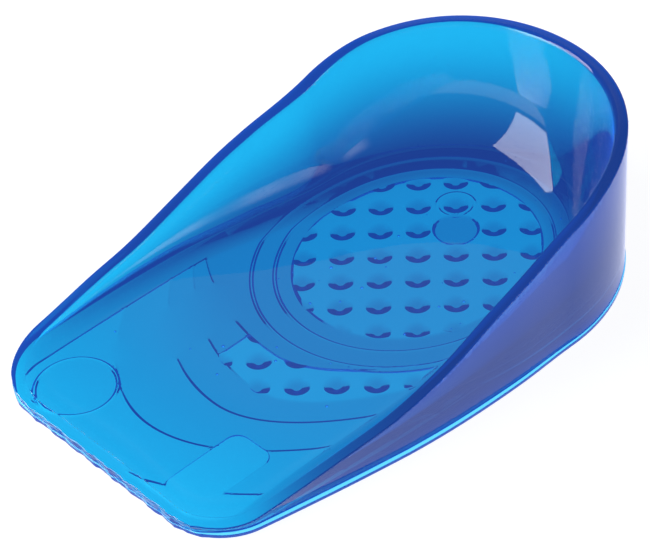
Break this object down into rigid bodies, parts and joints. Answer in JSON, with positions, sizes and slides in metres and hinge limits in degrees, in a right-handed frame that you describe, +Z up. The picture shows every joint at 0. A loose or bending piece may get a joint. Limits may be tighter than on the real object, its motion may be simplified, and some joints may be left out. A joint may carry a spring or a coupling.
{
  "type": "gel heel cup",
  "caption": "Clear gel heel cup with a thick wall round the heel, a thin open toe edge and low nubs in its underside.",
  "frame": {"origin": "middle of the cup's box, on the surface that its level underside rests on", "axes": "+Z up, +Y from the toe edge to the back of the heel, +X towards the side that is nearer in the picture"},
  "size_m": [0.0658, 0.1048, 0.029],
  "materials": {
    "gel": "clear glossy gel"
  },
  "bodies": {
    "root": {"heel_cup": "gel"}
  },
  "joints": []
}
